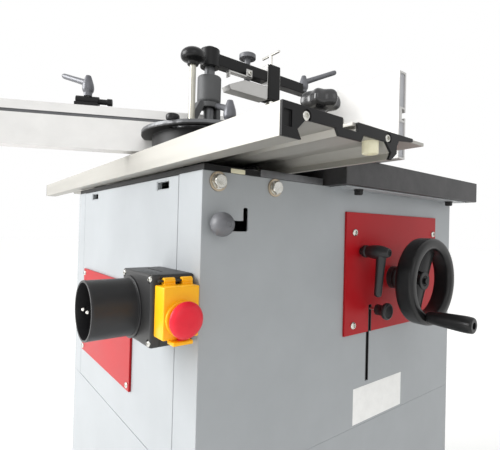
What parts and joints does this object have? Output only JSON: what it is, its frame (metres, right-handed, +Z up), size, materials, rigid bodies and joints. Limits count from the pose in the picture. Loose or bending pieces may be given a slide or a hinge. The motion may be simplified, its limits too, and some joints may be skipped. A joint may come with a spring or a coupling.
{
  "type": "spindle moulder",
  "caption": "Spindle moulder on a grey sheet-steel cabinet, with a sliding table, mitre fence and work clamp, handwheel spindle lift and a split fence with dust hood.",
  "frame": {"origin": "centre of the stand's floor bolt holes, on the floor", "axes": "+X to the handwheel side, +Y from the operator to the back, +Z up"},
  "size_m": [1, 1.0493, 1.0602],
  "materials": {
    "grey_paint": "satin",
    "red_paint": "satin",
    "steel": "satin",
    "cast_iron": "matte",
    "aluminium": "satin",
    "black_paint": "satin",
    "black_plastic": "matte",
    "nylon": "matte",
    "belt_rubber": "matte",
    "motor_paint": "satin",
    "yellow_plastic": "gloss",
    "red_plastic": "gloss",
    "green_plastic": "gloss"
  },
  "bodies": {
    "frame": {"base_stand": "grey_paint", "cabinet_shell": "grey_paint", "front_panel": "grey_paint", "front_plate": "red_paint", "control_plate": "red_paint", "frame_bolts": "steel", "main_table": "cast_iron", "table_rings": "steel", "guide_base": "grey_paint", "switch_box": "black_plastic", "inlet_collar": "black_plastic", "inlet_pins": "steel", "guide_columns": "steel", "lift_bracket": "cast_iron"},
    "slide": {"sliding_table": "aluminium", "table_end_caps": "black_paint", "table_bumpers": "nylon"},
    "roller_1": {"guide_roller_1": "steel"},
    "roller_2": {"guide_roller_2": "steel"},
    "roller_3": {"guide_roller_3": "steel"},
    "roller_4": {"guide_roller_4": "steel"},
    "star": {"star_knob": "black_plastic"},
    "mitre": {"mitre_head": "black_paint", "mitre_beam": "aluminium", "clamp_foot": "cast_iron"},
    "mitre_lock": {"mitre_lock_lever": "black_plastic"},
    "tall_knob": {"mitre_knob": "steel"},
    "stop": {"flip_stop": "black_paint"},
    "stop_lever": {"flip_stop_lever": "black_plastic"},
    "clamp": {"clamp_column": "steel", "clamp_arm": "black_paint", "clamp_block": "black_plastic"},
    "pressure": {"pressure_shoe": "aluminium"},
    "block_screw": {"clamp_screw": "steel"},
    "clamp_handle": {"clamp_lever": "black_plastic"},
    "lift": {"carriage": "cast_iron", "spindle_housing": "cast_iron", "spindle_bearings": "steel", "drive_belt": "belt_rubber", "motor": "motor_paint"},
    "spin": {"spindle": "steel", "spacer_rings": "steel", "spindle_nut": "steel", "spindle_pulley": "aluminium"},
    "rotor": {"motor_pulley": "aluminium"},
    "wheel": {"handwheel": "black_plastic", "handwheel_shaft": "steel"},
    "grip": {"handwheel_handle": "black_plastic"},
    "screw": {"lead_screw": "steel"},
    "height_lock": {"height_lock_lever": "black_plastic"},
    "lock_pin": {"spindle_lock_pin": "black_plastic"},
    "ball": {"ball_knob": "black_plastic"},
    "fence": {"fence_body": "black_paint"},
    "board_right": {"fence_board_right": "aluminium"},
    "board_left": {"fence_board_left": "aluminium"},
    "fence_lock_left": {"fence_clamp_left": "black_plastic"},
    "fence_lock_right": {"fence_clamp_right": "black_plastic"},
    "lid": {"emergency_lid": "yellow_plastic"},
    "mushroom": {"stop_mushroom": "red_plastic"},
    "start": {"start_button": "green_plastic"}
  },
  "joints": [
    {"name": "table_slide", "type": "slide", "parent": "frame", "child": "slide", "axis": [1, 0, 0], "range_m": [-0.17, 0.3]},
    {"name": "roller_1_turn", "type": "hinge", "parent": "frame", "child": "roller_1", "pos_m": [0.2065, -0.2972, 0.8385], "axis": [0, 0, 1], "range_deg": [-1000, 1000]},
    {"name": "roller_2_turn", "type": "hinge", "parent": "frame", "child": "roller_2", "pos_m": [-0.2035, -0.2972, 0.8385], "axis": [0, 0, 1], "range_deg": [-1000, 1000]},
    {"name": "roller_3_turn", "type": "hinge", "parent": "frame", "child": "roller_3", "pos_m": [0.2065, -0.1888, 0.8385], "axis": [0, 0, 1], "range_deg": [-1000, 1000]},
    {"name": "roller_4_turn", "type": "hinge", "parent": "frame", "child": "roller_4", "pos_m": [-0.2035, -0.1888, 0.8385], "axis": [0, 0, 1], "range_deg": [-1000, 1000]},
    {"name": "star_turn", "type": "hinge", "parent": "slide", "child": "star", "pos_m": [0.3955, -0.242, 0.87], "axis": [0, 0, 1], "range_deg": [-180, 180]},
    {"name": "mitre_swivel", "type": "hinge", "parent": "slide", "child": "mitre", "pos_m": [0.1645, -0.242, 0.87], "axis": [0, 0, 1], "range_deg": [-60, 60]},
    {"name": "mitre_lock_turn", "type": "hinge", "parent": "mitre", "child": "mitre_lock", "pos_m": [0.24764, -0.25919, 0.9], "axis": [0, 0, 1], "range_deg": [-60, 60]},
    {"name": "tall_knob_turn", "type": "hinge", "parent": "mitre", "child": "tall_knob", "pos_m": [0.17716, -0.2787, 0.95], "axis": [0, 0, 1], "range_deg": [-180, 180]},
    {"name": "stop_slide", "type": "slide", "parent": "mitre", "child": "stop", "axis": [0.4493, 0.8934, 0], "range_m": [-0.25, 0.1]},
    {"name": "stop_lever_turn", "type": "hinge", "parent": "stop", "child": "stop_lever", "pos_m": [0.04743, -0.3902, 0.96], "axis": [0, 0, 1], "range_deg": [-60, 60]},
    {"name": "clamp_height", "type": "slide", "parent": "mitre", "child": "clamp", "axis": [0, 0, 1], "range_m": [-0.006, 0.05]},
    {"name": "pressure_press", "type": "slide", "parent": "clamp", "child": "pressure", "axis": [0, 0, 1], "range_m": [-0.011, 0]},
    {"name": "block_screw_turn", "type": "hinge", "parent": "clamp", "child": "block_screw", "pos_m": [0.1645, -0.1175, 1], "axis": [0, 0, 1], "range_deg": [-180, 180]},
    {"name": "clamp_handle_turn", "type": "hinge", "parent": "clamp", "child": "clamp_handle", "pos_m": [0.1645, -0.035, 1.02], "axis": [0, 0, 1], "range_deg": [-60, 60]},
    {"name": "lift_slide", "type": "slide", "parent": "frame", "child": "lift", "axis": [0, 0, 1], "range_m": [-0.1, 0]},
    {"name": "spindle_spin", "type": "hinge", "parent": "lift", "child": "spin", "pos_m": [0, 0.0225, 0.7], "axis": [0, 0, 1], "continuous": true},
    {"name": "motor_spin", "type": "hinge", "parent": "lift", "child": "rotor", "pos_m": [0, 0.2, 0.56], "axis": [0, 0, 1], "continuous": true},
    {"name": "wheel_turn", "type": "hinge", "parent": "frame", "child": "wheel", "pos_m": [0.28, 0.0895, 0.668], "axis": [1, 0, 0], "range_deg": [-10, 7210]},
    {"name": "grip_turn", "type": "hinge", "parent": "wheel", "child": "grip", "pos_m": [0.36, 0.0651, 0.61319], "axis": [1, 0, 0], "continuous": true},
    {"name": "screw_turn", "type": "hinge", "parent": "frame", "child": "screw", "pos_m": [0.165, 0.0895, 0.55], "axis": [0, 0, 1], "range_deg": [-10, 3610]},
    {"name": "height_lock_turn", "type": "hinge", "parent": "frame", "child": "height_lock", "pos_m": [0.29, -0.0045, 0.717], "axis": [1, 0, 0], "range_deg": [-80, 15]},
    {"name": "lock_pin_push", "type": "slide", "parent": "lift", "child": "lock_pin", "axis": [1, 0, 0], "range_m": [-0.012, 0]},
    {"name": "ball_knob_slide", "type": "slide", "parent": "frame", "child": "ball", "axis": [0, 1, 0], "range_m": [0, 0.038]},
    {"name": "fence_slide", "type": "slide", "parent": "frame", "child": "fence", "axis": [0, 1, 0], "range_m": [-0.015, 0.06]},
    {"name": "board_right_slide", "type": "slide", "parent": "fence", "child": "board_right", "axis": [1, 0, 0], "range_m": [-0.025, 0.06]},
    {"name": "board_left_slide", "type": "slide", "parent": "fence", "child": "board_left", "axis": [1, 0, 0], "range_m": [-0.06, 0.025]},
    {"name": "fence_lock_left_turn", "type": "hinge", "parent": "frame", "child": "fence_lock_left", "pos_m": [-0.158, 0.0745, 0.88], "axis": [0, 0, 1], "range_deg": [-40, 40]},
    {"name": "fence_lock_right_turn", "type": "hinge", "parent": "frame", "child": "fence_lock_right", "pos_m": [0.158, 0.0745, 0.88], "axis": [0, 0, 1], "range_deg": [-40, 40]},
    {"name": "lid_hinge", "type": "hinge", "parent": "frame", "child": "lid", "pos_m": [0.267, -0.345, 0.6865], "axis": [0, -1, 0], "range_deg": [0, 100]},
    {"name": "mushroom_press", "type": "slide", "parent": "lid", "child": "mushroom", "axis": [1, 0, 0], "range_m": [-0.004, 0], "stiffness_N_per_m": 500},
    {"name": "start_press", "type": "slide", "parent": "frame", "child": "start", "axis": [1, 0, 0], "range_m": [-0.003, 0], "stiffness_N_per_m": 300}
  ],
  "couplings": [
    {"joint": "roller_1_turn", "follows": "table_slide", "rad_per_m": 55.556},
    {"joint": "roller_2_turn", "follows": "table_slide", "rad_per_m": 55.556},
    {"joint": "roller_3_turn", "follows": "table_slide", "rad_per_m": -55.556},
    {"joint": "roller_4_turn", "follows": "table_slide", "rad_per_m": -55.556},
    {"joint": "screw_turn", "follows": "lift_slide", "rad_per_m": -628.32},
    {"joint": "wheel_turn", "follows": "lift_slide", "rad_per_m": -1256.6},
    {"joint": "motor_spin", "follows": "spindle_spin", "ratio": 0.66667}
  ]
}
